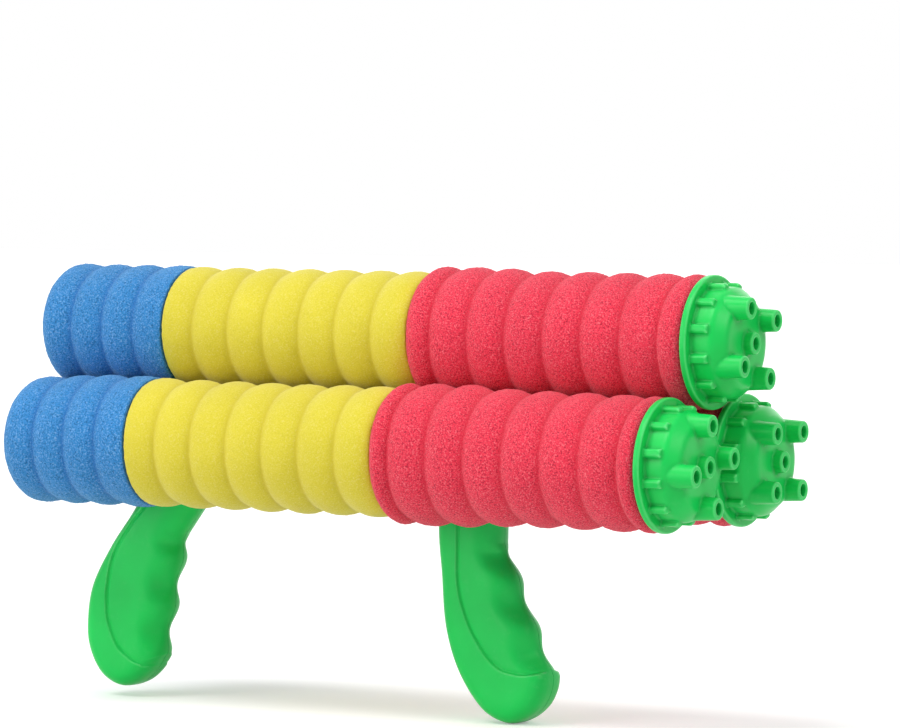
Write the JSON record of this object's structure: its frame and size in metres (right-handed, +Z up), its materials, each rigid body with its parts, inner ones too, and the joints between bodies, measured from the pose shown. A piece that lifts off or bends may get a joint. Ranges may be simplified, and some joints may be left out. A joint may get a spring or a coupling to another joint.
{
  "type": "water squirter",
  "caption": "Hand-pumped water squirter: ribbed foam-sleeved barrels bundled in a triangle, nozzle caps in front, a fixed front grip and a rear grip that slides back to draw water.",
  "frame": {"origin": "under the middle of the object, at the height of the front grip's tip, in the plane between the two lower barrels", "axes": "+X along the barrels to the nozzles, +Y to the user's left, +Z up"},
  "size_m": [0.3664, 0.121, 0.204],
  "materials": {
    "red_foam": "matte foam with a fine grain",
    "yellow_foam": "matte foam",
    "blue_foam": "matte foam with a fine grain",
    "green_plastic": "satin moulded plastic",
    "white_pipe": "smooth extruded pipe",
    "black_rubber": "moulded seal",
    "steel": "plated screw"
  },
  "bodies": {
    "barrels": {"barrel_tube_upper": "white_pipe", "barrel_tube_right": "white_pipe", "barrel_tube_left": "white_pipe", "nozzle_cap_upper": "green_plastic", "nozzle_cap_right": "green_plastic", "nozzle_cap_left": "green_plastic", "red_foam_upper": "red_foam", "red_foam_right": "red_foam", "red_foam_left": "red_foam", "yellow_foam_upper": "yellow_foam", "yellow_foam_right": "yellow_foam", "yellow_foam_left": "yellow_foam", "guide_collar_upper": "green_plastic", "guide_collar_right": "green_plastic", "guide_collar_left": "green_plastic", "front_bracket": "green_plastic", "front_grip_right": "green_plastic", "front_grip_left": "green_plastic", "front_screw_upper": "steel", "front_screw_middle": "steel", "front_screw_lower": "steel"},
    "plunger": {"plunger_rod_upper": "white_pipe", "plunger_rod_right": "white_pipe", "plunger_rod_left": "white_pipe", "piston_head_upper": "green_plastic", "piston_head_right": "green_plastic", "piston_head_left": "green_plastic", "piston_seal_upper": "black_rubber", "piston_seal_right": "black_rubber", "piston_seal_left": "black_rubber", "pull_tube_upper": "white_pipe", "pull_tube_right": "white_pipe", "pull_tube_left": "white_pipe", "blue_foam_upper": "blue_foam", "blue_foam_right": "blue_foam", "blue_foam_left": "blue_foam", "rear_cap_upper": "green_plastic", "rear_cap_right": "green_plastic", "rear_cap_left": "green_plastic", "rear_bracket": "green_plastic", "rear_grip_right": "green_plastic", "rear_grip_left": "green_plastic", "rear_screw_upper": "steel", "rear_screw_middle": "steel", "rear_screw_lower": "steel"}
  },
  "joints": [
    {"name": "pump_slide", "type": "slide", "parent": "barrels", "child": "plunger", "axis": [-1, 0, 0], "range_m": [0, 0.232]}
  ]
}
